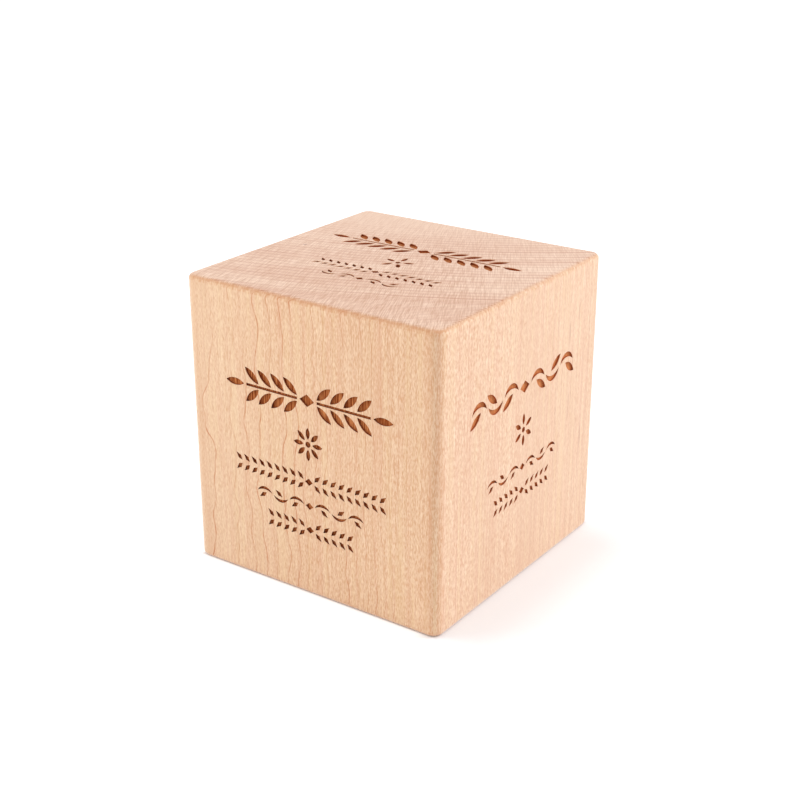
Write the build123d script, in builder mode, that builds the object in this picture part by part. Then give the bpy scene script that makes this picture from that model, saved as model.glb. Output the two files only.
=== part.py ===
"""Engraved wooden block: one solid piece of maple, nearly a cube, that stands on a desk.

The grain runs upright, so the top and the base are sawn end grain. The edges are eased, and the front (-Y),
right (+X) and top faces carry shallow engraved leaf ornament. Millimetres, +Z up, origin at the middle of
the base.
"""

import os

from build123d import *

# The block
block_width = 74.0
block_depth = 74.0
block_height = 76.0
upright_edge_radius = 2.8
end_edge_radius = 1.3
engraving_depth = 0.6

# Where the motifs stand, above or below the middle of their face
side_heading_height = 13.6
side_rosette_height = 2.4
side_rule_height = -7.4
top_heading_height = 11.2
top_rosette_height = -0.2
top_rule_height = -9.6
rule_spacing = 6.4

# Bold motifs: the garland and the scroll that head each face
bold_leaf_length = 5.6
bold_leaf_width = 1.9
bold_lozenge_length = 4.4
bold_lozenge_width = 3.2
bold_gap = 0.7
garland_pitch = 3.9
garland_leaf_angle = 42
garland_stem_width = 0.7
scroll_wave_length = 6.4
scroll_wave_rise = 2.0
scroll_stroke_width = 1.4

# Rosette: a ring of petals about a small eye
rosette_eye_radius = 0.8
rosette_petal_start = 1.3
rosette_petal_length = 3.0
rosette_petal_width = 1.25

# Fine motifs: the rules that stand below the rosette
dart_length = 2.7
dart_width = 1.2
dart_widest_share = 0.42
fine_lozenge_length = 2.4
fine_lozenge_width = 1.9
fine_gap = 0.4
row_pitch = 2.4
row_dart_angle = 45
vine_wave_length = 4.6
vine_wave_rise = 1.1
vine_stroke_width = 0.8

# What stands in the hollow of a wave starts at this share of the wave and leans by this angle
wave_leaf_start_share = 0.36
wave_leaf_angle = 36


def leaf(length, width):
    """A leaf along +X from the origin: two arcs that meet in a point at each end."""
    with BuildSketch() as blade:
        with BuildLine():
            SagittaArc((0, 0), (length, 0), width / 2)
            SagittaArc((length, 0), (0, 0), width / 2)
        make_face()
    return blade.sketch


def dart(length, width):
    """A fine straight-sided leaf along +X from the origin, widest nearer its foot."""
    widest = dart_widest_share * length
    with BuildSketch() as blade:
        with BuildLine():
            Polyline((0, 0), (widest, width / 2), (length, 0), (widest, -width / 2), close=True)
        make_face()
    return blade.sketch


def crescent(length, rise, width):
    """A swelling stroke along +X from the origin that arches upward by its rise."""
    with BuildSketch() as stroke:
        with BuildLine():
            SagittaArc((0, 0), (length, 0), rise + width / 2)
            SagittaArc((length, 0), (0, 0), width / 2 - rise)
        make_face()
    return stroke.sketch


def lozenge(length, width):
    """A lozenge about the origin, its long diagonal along X."""
    with BuildSketch() as diamond:
        with BuildLine():
            Polyline((length / 2, 0), (0, width / 2), (-length / 2, 0), (0, -width / 2), close=True)
        make_face()
    return diamond.sketch


def leaf_pairs(pairs, start, pitch, angle, gap, blade):
    """Pairs of leaves that lean outward above and below the X axis, for the right half of a motif."""
    with BuildSketch() as branch:
        for pair in range(pairs):
            with Locations(Location((start + pair * pitch, gap), angle)):
                add(blade)
        mirror(about=Plane.XZ)
    return branch.sketch


def waves(count, start, pitch, stroke, blade):
    """Strokes that arch up and down in turn, each with a leaf in its hollow, for the right half of a motif."""
    with BuildSketch() as upward:
        add(stroke)
        with Locations(Location((wave_leaf_start_share * pitch, 0), -wave_leaf_angle)):
            add(blade)
    downward = mirror(upward.sketch, about=Plane.XZ, mode=Mode.PRIVATE)
    with BuildSketch() as run:
        for wave in range(count):
            with Locations((start + wave * pitch, 0)):
                add(upward.sketch if wave % 2 == 0 else downward)
    return run.sketch


def garland(pairs):
    """A stem with leaf pairs each side of a lozenge, ending in a single leaf at each tip."""
    blade = leaf(bold_leaf_length, bold_leaf_width)
    start = bold_lozenge_length / 2 + bold_gap
    stem_length = pairs * garland_pitch
    with BuildSketch() as band:
        add(leaf_pairs(pairs, start, garland_pitch, garland_leaf_angle, garland_stem_width, blade))
        with Locations((start, 0)):
            Rectangle(stem_length, garland_stem_width, align=(Align.MIN, Align.CENTER))
        with Locations((start + stem_length + bold_gap, 0)):
            add(blade)
        mirror(about=Plane.YZ)
        add(lozenge(bold_lozenge_length, bold_lozenge_width))
    return band.sketch


def scroll(count):
    """A bold running vine each side of a lozenge."""
    stroke = crescent(scroll_wave_length, scroll_wave_rise, scroll_stroke_width)
    blade = leaf(bold_leaf_length, bold_leaf_width)
    start = bold_lozenge_length / 2 + bold_gap
    with BuildSketch() as band:
        add(waves(count, start, scroll_wave_length + bold_gap, stroke, blade))
        mirror(about=Plane.YZ)
        add(lozenge(bold_lozenge_length, bold_lozenge_width))
    return band.sketch


def rosette(petals):
    """Petals in a ring about an eye with a corner for each petal, the first one pointing up."""
    with BuildSketch() as flower:
        RegularPolygon(rosette_eye_radius, petals, rotation=90)
        with PolarLocations(rosette_petal_start, petals, start_angle=90):
            add(leaf(rosette_petal_length, rosette_petal_width))
    return flower.sketch


def leaf_row(pairs):
    """A fine row of paired darts each side of a small lozenge."""
    blade = dart(dart_length, dart_width)
    start = fine_lozenge_length / 2 + fine_gap
    with BuildSketch() as row:
        add(leaf_pairs(pairs, start, row_pitch, row_dart_angle, fine_gap, blade))
        mirror(about=Plane.YZ)
        add(lozenge(fine_lozenge_length, fine_lozenge_width))
    return row.sketch


def vine(count):
    """A fine running vine each side of a small lozenge."""
    stroke = crescent(vine_wave_length, vine_wave_rise, vine_stroke_width)
    blade = dart(dart_length, dart_width)
    start = fine_lozenge_length / 2 + fine_gap
    with BuildSketch() as row:
        add(waves(count, start, vine_wave_length + fine_gap, stroke, blade))
        mirror(about=Plane.YZ)
        add(lozenge(fine_lozenge_length, fine_lozenge_width))
    return row.sketch


front = Plane(origin=(0, -block_depth / 2, block_height / 2), x_dir=(1, 0, 0), z_dir=(0, -1, 0))
right = Plane(origin=(block_width / 2, 0, block_height / 2), x_dir=(0, 1, 0), z_dir=(1, 0, 0))
top = Plane(origin=(0, 0, block_height), x_dir=(1, 0, 0), z_dir=(0, 0, 1))

# The motifs of each face, with the height at which each one stands
engraved_faces = [
    (
        front,
        [
            (garland(4), side_heading_height),
            (rosette(8), side_rosette_height),
            (leaf_row(9), side_rule_height),
            (vine(3), side_rule_height - rule_spacing),
            (leaf_row(5), side_rule_height - 2 * rule_spacing),
        ],
    ),
    (
        right,
        [
            (scroll(3), side_heading_height),
            (rosette(6), side_rosette_height),
            (vine(3), side_rule_height),
            (leaf_row(5), side_rule_height - rule_spacing),
        ],
    ),
    (
        top,
        [
            (garland(5), top_heading_height),
            (rosette(5), top_rosette_height),
            (leaf_row(7), top_rule_height),
            (vine(2), top_rule_height - rule_spacing),
        ],
    ),
]

with BuildPart() as engraved_block:
    Box(block_width, block_depth, block_height, align=(Align.CENTER, Align.CENTER, Align.MIN))
    fillet(engraved_block.edges().filter_by(Axis.Z), radius=upright_edge_radius)
    fillet(engraved_block.faces().filter_by(Axis.Z).edges(), radius=end_edge_radius)
    for face_plane, motifs in engraved_faces:
        with BuildSketch(face_plane):
            for motif, height in motifs:
                with Locations((0, height)):
                    add(motif)
        extrude(amount=-engraving_depth, mode=Mode.SUBTRACT)

engraved_block.part.label = "engraved_block"
os.makedirs("parts", exist_ok=True)
export_step(engraved_block.part, "parts/engraved_block.step")
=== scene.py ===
import math

import bpy
from mathutils import Matrix, Vector


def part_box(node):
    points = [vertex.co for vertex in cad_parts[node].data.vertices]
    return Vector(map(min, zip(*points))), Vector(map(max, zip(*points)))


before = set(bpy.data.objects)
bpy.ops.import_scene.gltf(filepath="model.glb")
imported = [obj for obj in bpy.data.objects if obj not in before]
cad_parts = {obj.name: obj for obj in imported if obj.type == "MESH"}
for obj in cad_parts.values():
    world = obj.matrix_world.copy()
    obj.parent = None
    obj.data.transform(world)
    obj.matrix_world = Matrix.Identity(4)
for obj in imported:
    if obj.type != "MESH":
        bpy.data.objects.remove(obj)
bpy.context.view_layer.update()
scene = bpy.context.scene

# The block
# One solid piece of hard maple with its grain upright, sawn to length, sanded, its edges eased, and sealed
# with a thin clear finish. The ornament is engraved by heat, so each cut has a burnt brown floor and walls.
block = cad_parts["engraved_block"]
block_low, block_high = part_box("engraved_block")

# Lengths in the materials are in millimetres.
mm = 0.001
half_width = (block_high.x - block_low.x) / 2 / mm
half_depth = (block_high.y - block_low.y) / 2 / mm
block_height = (block_high.z - block_low.z) / mm
upright_edge_radius = 2.8
end_edge_radius = 1.3
engraving_depth = 0.6

maple = bpy.data.materials.new("maple")
maple.use_nodes = True
shader = maple.node_tree
shader.nodes.clear()


def plug(socket, value):
    """Links a node's output to the socket, or sets it to a plain value, in the shader at hand."""
    if isinstance(value, bpy.types.NodeSocket):
        shader.links.new(value, socket)
    else:
        socket.default_value = value


def calc(operation, first, second=0.0, third=0.0):
    """One step of arithmetic on values."""
    step = shader.nodes.new("ShaderNodeMath")
    step.operation = operation
    for socket, value in zip(step.inputs, (first, second, third)):
        plug(socket, value)
    return step.outputs[0]


def product(*values):
    """The values multiplied together."""
    result = values[0]
    for value in values[1:]:
        result = calc("MULTIPLY", result, value)
    return result


def slant(first, second):
    """The straight distance that two distances at right angles make."""
    return calc("SQRT", calc("ADD", calc("POWER", first, 2.0), calc("POWER", second, 2.0)))


def places():
    """Places in the object: across, deep and high."""
    spot = shader.nodes.new("ShaderNodeTexCoord")
    millimetres = shader.nodes.new("ShaderNodeVectorMath")
    millimetres.operation = "SCALE"
    plug(millimetres.inputs[0], spot.outputs["Object"])
    plug(millimetres.inputs["Scale"], 1 / mm)
    axes = shader.nodes.new("ShaderNodeSeparateXYZ")
    plug(axes.inputs[0], millimetres.outputs[0])
    return axes.outputs


# A place in the block is also a place in the trunk that it was sawn from: outward from the pith, around it,
# and along it. The pith lay well behind the block, to its left.
pith_across, pith_deep = -74.0, 171.0
mean_radius = 205.0
across, deep, height = places()
from_pith_across = calc("SUBTRACT", across, pith_across)
from_pith_deep = calc("SUBTRACT", pith_deep, deep)
outward = slant(from_pith_across, from_pith_deep)
around = calc("MULTIPLY", calc("ARCTAN2", from_pith_across, from_pith_deep), mean_radius)


def fade(value, low, high):
    """0 below low, 1 above high and a smooth rise between; low may be the larger, for a fall."""
    step = shader.nodes.new("ShaderNodeMapRange")
    step.interpolation_type = "SMOOTHSTEP"
    plug(step.inputs["Value"], value)
    plug(step.inputs["From Min"], min(low, high))
    plug(step.inputs["From Max"], max(low, high))
    plug(step.inputs["To Min"], 0.0 if low < high else 1.0)
    plug(step.inputs["To Max"], 1.0 if low < high else 0.0)
    return step.outputs["Result"]


def span(mask, low, high):
    """From low where the mask is 0 to high where it is 1."""
    return calc("MULTIPLY_ADD", mask, high - low, low)


def grain(lengths, detail=1.0):
    """Noise about 0.5 whose grains have these lengths outward, around and along the trunk."""
    spot = shader.nodes.new("ShaderNodeCombineXYZ")
    for socket, along, length in zip(spot.inputs, (outward, around, height), lengths):
        plug(socket, calc("DIVIDE", along, length))
    pattern = shader.nodes.new("ShaderNodeTexNoise")
    plug(pattern.inputs["Vector"], spot.outputs[0])
    plug(pattern.inputs["Scale"], 1.0)
    plug(pattern.inputs["Detail"], detail)
    return pattern.outputs["Fac"]


def swing(lengths, reach):
    """A bend to and fro over these lengths, within about half of reach."""
    return calc("MULTIPLY", calc("SUBTRACT", grain(lengths), 0.5), reach)


# Growth rings: each deepens slowly and ends in a thin darker line. The outer ones are narrower. Toward the
# left of the front face they wander, and the face cuts them at a slant, so their lines there are wavy. The
# count starts where it brings a clear line near that edge. A line is measured back from the ring's end.
inner_rings_per_mm, outer_rings_per_mm = 0.47, 0.95
narrowing_radius = 213.7
first_ring = 3.06
ring_line_start, ring_line_full, ring_line_stop = 0.12, 0.042, 0.032
unsteady = fade(around, 125.0, 60.0)
sway = calc("ADD", swing((60.0, 40.0, 34.0), reach=3.4), swing((30.0, 16.0, 13.0), reach=1.6))
sway = calc("ADD", sway, swing((30.0, 9.0, 5.0), reach=0.18))
grown = calc("MULTIPLY_ADD", sway, unsteady, outward)
inner_count = calc("MULTIPLY_ADD", grown, inner_rings_per_mm, first_ring)
past_narrowing = calc("MAXIMUM", calc("SUBTRACT", grown, narrowing_radius), 0.0)
ring_count = calc("MULTIPLY_ADD", past_narrowing, outer_rings_per_mm - inner_rings_per_mm, inner_count)
ring_share = calc("FRACT", ring_count)
is_outer = calc("GREATER_THAN", grown, narrowing_radius)
ring_width = span(is_outer, 1 / inner_rings_per_mm, 1 / outer_rings_per_mm)
ring_left = calc("MULTIPLY", calc("SUBTRACT", 1.0, ring_share), ring_width)

# Some rings are clearer than others, and each one's line comes and goes along the trunk. The lines are
# clearest on the left half of the front face.
ring_number = shader.nodes.new("ShaderNodeTexWhiteNoise")
ring_number.noise_dimensions = "1D"
plug(ring_number.inputs["W"], calc("FLOOR", ring_count))
ring_clear = span(ring_number.outputs["Value"], 0.4, 1.0)
ring_patch = fade(grain((3.0, 12.0, 34.0)), 0.28, 0.54)
ring_dash = span(fade(grain((2.0, 2.6, 3.4)), 0.36, 0.60), 0.50, 1.15)
ring_place = span(product(fade(outward, 196.0, 213.0), fade(outward, 234.0, 226.0)), 0.25, 1.0)
ring_edge = product(fade(ring_left, ring_line_start, ring_line_full), fade(ring_left, 0.0, ring_line_stop))
ring_line = product(ring_edge, ring_clear, ring_patch, ring_place, ring_dash)
ring_stop = fade(ring_share, 1.0, 0.965)
ring_band = product(fade(ring_share, 0.45, 0.93), ring_stop, ring_clear)
ring_end = product(fade(ring_share, 0.82, 0.955), ring_stop, ring_clear)

# Rays: thin sheets that run out from the pith, seen as short upright flecks on the sides and as fine lines
# on the ends. Fibres, pores, stripes and broad tones run the length of the trunk.
rays = grain((4.0, 0.19, 1.05), detail=2.0)
fibres = grain((0.32, 0.32, 22.0), detail=2.0)
pores = grain((0.22, 0.22, 3.2))
streaks = grain((0.8, 0.8, 9.0))
stripes = grain((1.5, 1.5, 70.0), detail=2.0)
tone = grain((14.0, 26.0, 90.0), detail=2.0)


def linear(colour):
    """A colour given in 0 to 255 screen values, as the shader counts it."""
    shares = [value / 255 for value in colour]
    return [s / 12.92 if s <= 0.04045 else ((s + 0.055) / 1.055) ** 2.4 for s in shares] + [1.0]


def stain(colour, tint, share, strength=1.0):
    """The colour with a tint laid over it as far as share says; each is a screen colour or another stain."""
    step = shader.nodes.new("ShaderNodeMix")
    step.data_type = "RGBA"
    plug(step.inputs["Factor"], share if strength == 1.0 else product(share, strength))
    for socket, value in zip((step.inputs[6], step.inputs[7]), (colour, tint)):
        plug(socket, linear(value) if isinstance(value, tuple) else value)
    return step.outputs[2]


def mark(place, reach):
    """A soft spot or streak about a place in the block, with its half lengths across, deep and high."""
    parts = []
    for along, centre, half in zip((across, deep, height), place, reach):
        parts.append(calc("POWER", calc("DIVIDE", calc("SUBTRACT", along, centre), half), 2.0))
    return fade(calc("ADD", calc("ADD", parts[0], parts[1]), parts[2]), 1.0, 0.1)


# The sides: flecked wood in faint upright stripes, palest at the left of the front. Toward the pith it has
# more fibres and short dark streaks. The right face has three longer streaks of its own.
pale_ray, dark_ray = (254, 223, 189), (213, 152, 102)
pale_fibre, dark_fibre = (247, 210, 172), (221, 168, 121)
yellow_stripe, red_stripe = (240, 204, 154), (226, 166, 128)
broad_tan, pale_sap = (224, 180, 140), (250, 222, 186)
ring_tan, ring_brown = (214, 164, 124), (204, 122, 68)
pore_brown = (196, 132, 92)
streak_brown, faint_streak_brown = (186, 118, 72), (200, 138, 92)
inner_wood = fade(outward, 215.0, 190.0)
inner_streak = product(fade(streaks, 0.68, 0.80), inner_wood)
dark_streak = calc(
    "MAXIMUM",
    mark((half_width, 21.6, 59.0), (3.0, 0.30, 3.6)),
    mark((half_width, 29.2, 28.4), (3.0, 0.34, 4.4)),
)
faint_streak = mark((half_width, 22.2, 39.5), (3.0, 0.40, 5.5))
ray_wood = stain(pale_ray, dark_ray, fade(rays, 0.28, 0.72))
fibre_wood = stain(pale_fibre, dark_fibre, fade(fibres, 0.30, 0.70))
side_wood = stain(ray_wood, fibre_wood, span(inner_wood, 0.36, 0.56))
side_wood = stain(side_wood, broad_tan, fade(tone, 0.45, 0.70), strength=0.30)
side_wood = stain(side_wood, yellow_stripe, fade(stripes, 0.50, 0.66), strength=0.30)
side_wood = stain(side_wood, red_stripe, fade(stripes, 0.50, 0.34), strength=0.26)
side_wood = stain(side_wood, pale_sap, fade(around, 80.0, 36.0), strength=0.19)
side_wood = stain(side_wood, ring_tan, product(ring_band, span(inner_wood, 0.16, 0.22)))
side_wood = stain(side_wood, ring_brown, ring_line)
side_wood = stain(side_wood, pore_brown, fade(pores, 0.56, 0.74), strength=0.22)
side_wood = stain(side_wood, pore_brown, inner_streak, strength=0.60)
side_wood = stain(side_wood, streak_brown, dark_streak, strength=0.55)
side_wood = stain(side_wood, faint_streak_brown, faint_streak, strength=0.40)

# The ends: the fibres cut across, pinker, with the rays as a fine hatch under brown rings that come in broad
# zones, and a pin knot in the top.
pale_hatch, dark_hatch = (247, 211, 181), (203, 151, 112)
plain_end, pale_end = (229, 186, 153), (250, 216, 186)
end_zone_brown, end_band_brown, end_line_brown = (198, 134, 90), (188, 108, 56), (172, 82, 32)
knot_brown = (150, 78, 42)
outer_wood = fade(outward, 145.0, 178.0)
end_zone = fade(grain((7.0, 60.0, 300.0), detail=3.0), 0.40, 0.64)
end_ring = product(outer_wood, span(end_zone, 0.4, 1.0))
pin_knot = mark((-28.7, -0.7, block_height), (0.55, 0.75, 2.0))
hatch = stain(pale_hatch, dark_hatch, fade(rays, 0.26, 0.74))
end_wood = stain(plain_end, hatch, span(outer_wood, 0.45, 1.0))
end_wood = stain(end_wood, pale_end, fade(around, 92.0, 130.0), strength=0.32)
end_wood = stain(end_wood, end_zone_brown, product(end_zone, outer_wood), strength=0.32)
end_wood = stain(end_wood, end_band_brown, product(ring_band, end_ring), strength=0.60)
end_wood = stain(end_wood, end_line_brown, product(ring_end, end_ring), strength=0.95)
end_wood = stain(end_wood, knot_brown, pin_knot, strength=0.70)
facing = shader.nodes.new("ShaderNodeNewGeometry")
facing_axes = shader.nodes.new("ShaderNodeSeparateXYZ")
plug(facing_axes.inputs[0], facing.outputs["Normal"])
upright = calc("ABSOLUTE", facing_axes.outputs["Z"])
end_grain = fade(upright, 0.76, 0.90)
wood = stain(side_wood, end_wood, end_grain)

# The edges: round the ends a soft darker line, painted shade of the rounded edge, strongest at the front,
# with torn fibres below it at front and back, and at the sides pale chips and painted glints. A band along
# the eased upright edges is painted a little darker, as painted shade.
edge_line_shade_brown, fibre_brown = (204, 124, 66), (212, 140, 84)
chip_and_glint_cream, edge_band_shade_tan = (252, 228, 200), (212, 152, 106)
across_off_middle = calc("ABSOLUTE", across)
deep_off_middle = calc("ABSOLUTE", deep)
# Painted shade: a darker line round the end edges, strongest at the front.
edge_line_painted_shade = product(
    fade(upright, 0.30, 0.62),
    fade(upright, 0.94, 0.76),
    span(fade(grain((1.3, 0.8, 60.0), detail=2.0), 0.32, 0.60), 0.45, 1.0),
    span(fade(deep, 7.0 - half_depth, 1.0 - half_depth), 0.35, 1.0),
)
torn_fibres = product(
    fade(upright, 0.0, 0.14),
    fade(upright, 0.56, 0.30),
    fade(grain((0.9, 0.45, 3.0), detail=2.0), 0.40, 0.64),
    fade(deep_off_middle, half_depth - 2.0, half_depth - 1.0),
)
# Pale chips at the sides, with painted glints among them.
chips_and_painted_glints = product(
    fade(upright, 0.10, 0.30),
    fade(upright, 0.75, 0.55),
    fade(grain((1.5, 0.9, 1.6), detail=2.0), 0.54, 0.64),
    fade(across_off_middle, half_width - 2.0, half_width - 1.0),
)
# Painted shade: a darker band along the eased upright edges.
edge_band_painted_shade = product(
    fade(across_off_middle, half_width - 4.4, half_width - 3.0),
    fade(across_off_middle, half_width - 1.0, half_width - 2.2),
    fade(deep_off_middle, half_depth - 3.5, half_depth - 2.5),
)
wood = stain(wood, edge_line_shade_brown, edge_line_painted_shade, strength=0.52)
wood = stain(wood, fibre_brown, torn_fibres, strength=0.42)
wood = stain(wood, chip_and_glint_cream, chips_and_painted_glints, strength=0.45)
wood = stain(wood, edge_band_shade_tan, edge_band_painted_shade, strength=0.20)


def rounded(first, second, radius):
    """Distance from a corner that two distances make, rounded to a radius: below zero is inside."""
    first = calc("ADD", first, radius)
    second = calc("ADD", second, radius)
    corner = slant(calc("MAXIMUM", first, 0.0), calc("MAXIMUM", second, 0.0))
    inside = calc("MINIMUM", calc("MAXIMUM", first, second), 0.0)
    return calc("SUBTRACT", calc("ADD", corner, inside), radius)


# Depth under the block's own skin, which is nothing all over the rounded outside and grows in the cuts.
cut_start, cut_full = 0.06, 0.22
floor_start, floor_full = 0.5 * engraving_depth, 0.98 * engraving_depth
side_distance = rounded(
    calc("SUBTRACT", across_off_middle, half_width),
    calc("SUBTRACT", deep_off_middle, half_depth),
    upright_edge_radius,
)
high_off_middle = calc("ABSOLUTE", calc("SUBTRACT", height, block_height / 2))
end_distance = calc("SUBTRACT", high_off_middle, block_height / 2)
under_skin = calc("MULTIPLY", rounded(side_distance, end_distance, end_edge_radius), -1.0)
cut = fade(under_skin, cut_start, cut_full)
cut_floor = fade(under_skin, floor_start, floor_full)

# The cuts: floors burnt in streaks along the grain; painted light makes them lighter in the right face
# and the top.
dark_burn, pale_burn, burn_painted_light = (138, 63, 24), (214, 136, 82), (220, 144, 92)
# The walls are burnt too, and painted darker than the floors, partly as painted shade; painted light makes
# those in the right face lighter.
painted_shade_front_wall, painted_lighter_right_wall, painted_shade_top_wall = (120, 48, 16), (168, 84, 42), (144, 64, 25)
in_right = fade(across, half_width - 1.4, half_width - 0.8)
in_top = fade(height, block_height - 1.4, block_height - 0.8)
side_streaks = grain((0.6, 0.35, 7.0), detail=2.0)
burn_streaks = calc("MULTIPLY_ADD", calc("SUBTRACT", rays, side_streaks), end_grain, side_streaks)
burnt_floor_painted_light = stain(dark_burn, pale_burn, fade(burn_streaks, 0.34, 0.68))
burnt_floor_painted_light = stain(burnt_floor_painted_light, burn_painted_light, calc("ADD", in_right, end_grain), strength=0.62)
burnt_wall_painted_shade = stain(painted_shade_front_wall, painted_lighter_right_wall, in_right)
burnt_wall_painted_shade = stain(burnt_wall_painted_shade, painted_shade_top_wall, in_top)
colour = stain(wood, stain(burnt_wall_painted_shade, burnt_floor_painted_light, cut_floor), cut)

# The finish: satin on the skin, dry and matt in the cuts, with the grain just felt.
roughness = calc("MULTIPLY_ADD", cut, 0.38, span(rays, 0.40, 0.56))
relief = calc("MULTIPLY_ADD", rays, 0.3, calc("MULTIPLY", fibres, 0.2))
relief = calc("MULTIPLY_ADD", pores, 0.5, relief)
felt = shader.nodes.new("ShaderNodeBump")
plug(felt.inputs["Strength"], 0.3)
plug(felt.inputs["Distance"], 0.1 * mm)
plug(felt.inputs["Height"], relief)


def finish(sheen, gloss):
    """The surface, with its gloss and the pale sheen that sanded fibres show at a slant."""
    skin = shader.nodes.new("ShaderNodeBsdfPrincipled")
    plug(skin.inputs["Base Color"], colour)
    plug(skin.inputs["Roughness"], roughness)
    plug(skin.inputs["Normal"], felt.outputs[0])
    plug(skin.inputs["Sheen Weight"], sheen)
    plug(skin.inputs["Sheen Roughness"], 0.5)
    plug(skin.inputs["Specular IOR Level"], gloss)
    return skin.outputs[0]


def mixed(share, first, second):
    """The first finish, and the second as far as share says."""
    step = shader.nodes.new("ShaderNodeMixShader")
    for socket, value in zip(step.inputs, (share, first, second)):
        plug(socket, value)
    return step.outputs[0]


side_finish = finish(sheen=0.6, gloss=0.45)
end_finish = finish(sheen=0.33, gloss=0.45)
cut_finish = finish(sheen=0.0, gloss=0.10)
not_side = calc("MAXIMUM", end_grain, cut)
not_side_finish = mixed(calc("DIVIDE", cut, not_side), end_finish, cut_finish)
maple_shown = shader.nodes.new("ShaderNodeOutputMaterial")
plug(maple_shown.inputs["Surface"], mixed(not_side, side_finish, not_side_finish))
block.data.materials.clear()
block.data.materials.append(maple)

# The floor
# A plain sweep of white studio paper that the block stands on, laid flat. Not part of the object. What the
# camera sees of it glows a little, so that it is white all round.
floor_half = 3.0
paper_white = (0.88, 0.88, 0.88, 1.0)
paper_glow, least_glow_share = 0.42, 0.15
floor_corners = [
    (-floor_half, -floor_half, 0.0),
    (floor_half, -floor_half, 0.0),
    (floor_half, floor_half, 0.0),
    (-floor_half, floor_half, 0.0),
]
floor_mesh = bpy.data.meshes.new("studio_floor")
floor_mesh.from_pydata(floor_corners, [], [(0, 1, 2, 3)])
floor = bpy.data.objects.new("studio_floor", floor_mesh)
scene.collection.objects.link(floor)

paper = bpy.data.materials.new("studio_paper")
paper.use_nodes = True
shader = paper.node_tree
shader.nodes.clear()


def seen():
    """1 for what the camera sees, also mirrored or through glass, and 0 for what only lights the scene."""
    path = shader.nodes.new("ShaderNodeLightPath")
    mirrored = calc("MAXIMUM", path.outputs["Is Camera Ray"], path.outputs["Is Glossy Ray"])
    return calc("MAXIMUM", mirrored, path.outputs["Is Transmission Ray"])


# The glow stops just short of the block, so the thin shadow where the block stands stays dark. It is weaker
# to the right of the block, where the warm light that the right face throws on the paper shows.
paper_across, paper_deep = places()[:2]
beyond_width = calc("SUBTRACT", calc("ABSOLUTE", paper_across), half_width)
beyond_depth = calc("SUBTRACT", calc("ABSOLUTE", paper_deep), half_depth)
clear_of_block = fade(calc("MAXIMUM", beyond_width, beyond_depth), -0.9, 0.0)
warm_paper = product(
    fade(paper_across, half_width - 7.0, half_width),
    fade(paper_across, half_width + 35.0, half_width + 5.0),
    fade(paper_deep, -half_depth - 25.0, -half_depth + 7.0),
    fade(paper_deep, half_depth + 21.0, half_depth - 13.0),
)
paper_skin = shader.nodes.new("ShaderNodeBsdfDiffuse")
plug(paper_skin.inputs["Color"], paper_white)
glow_share = span(warm_paper, 1.0, least_glow_share)
paper_light = shader.nodes.new("ShaderNodeEmission")
plug(paper_light.inputs["Strength"], product(seen(), clear_of_block, glow_share, paper_glow))
paper_sum = shader.nodes.new("ShaderNodeAddShader")
plug(paper_sum.inputs[0], paper_skin.outputs[0])
plug(paper_sum.inputs[1], paper_light.outputs[0])
paper_shown = shader.nodes.new("ShaderNodeOutputMaterial")
plug(paper_shown.inputs["Surface"], paper_sum.outputs[0])
floor_mesh.materials.append(paper)

# The light
# White walls all round, and two soft boxes: a near one to the left of the front face, and a stronger one
# further off, behind the right face. The upright edge nearest the camera lies away from both.
wall_light, wall_white = 0.735, 1.0
room = bpy.data.worlds.new("white_room")
room.use_nodes = True
shader = room.node_tree
walls = shader.nodes["Background"]
plug(walls.inputs["Color"], (1.0, 1.0, 1.0, 1.0))
plug(walls.inputs["Strength"], span(seen(), wall_light, wall_white))
scene.world = room

middle = (block_low + block_high) / 2


def from_middle(turn, rise):
    """The way from the block's middle that is turned from its front round to its right, and raised."""
    level = math.cos(rise)
    return Vector((math.sin(turn) * level, -math.cos(turn) * level, math.sin(rise)))


def soft_box(name, turn, rise, away, size, watts, tint):
    """A square soft box that shines at the block; turn and rise are in degrees."""
    aim = from_middle(math.radians(turn), math.radians(rise))
    lamp = bpy.data.lights.new(name, "AREA")
    lamp.shape = "SQUARE"
    lamp.size = size
    lamp.energy = watts
    lamp.color = tint
    box = bpy.data.objects.new(name, lamp)
    box.location = middle + aim * away
    box.rotation_euler = aim.to_track_quat("Z", "Y").to_euler()
    box.visible_glossy = False
    scene.collection.objects.link(box)


soft_box("left_box", turn=-52.0, rise=21.0, away=0.55, size=0.3, watts=1.07, tint=(1.0, 1.0, 1.0))
soft_box("right_box", turn=128.0, rise=33.0, away=1.1, size=0.35, watts=5.5, tint=(1.0, 1.01, 1.10))

# The camera
# A long lens a little above the block, turned to show the front, right and top faces.
azimuth = math.radians(35.145)
elevation = math.radians(22.226)
distance = 0.36709
sideways, upward = 0.000424, 0.001330
back = from_middle(azimuth, elevation)
right = Vector((math.cos(azimuth), math.sin(azimuth), 0.0))
up = back.cross(right)
eye = middle + back * distance + right * sideways + up * upward
lens = bpy.data.cameras.new("camera")
lens.sensor_width = 36.0
lens.lens = 64.54
lens.clip_start = 0.01
lens.clip_end = 20.0
camera = bpy.data.objects.new("camera", lens)
camera.matrix_world = Matrix(
    (
        (right.x, up.x, back.x, eye.x),
        (right.y, up.y, back.y, eye.y),
        (right.z, up.z, back.z, eye.z),
        (0.0, 0.0, 0.0, 1.0),
    )
)
scene.collection.objects.link(camera)
scene.camera = camera
scene.view_settings.view_transform = "Standard"
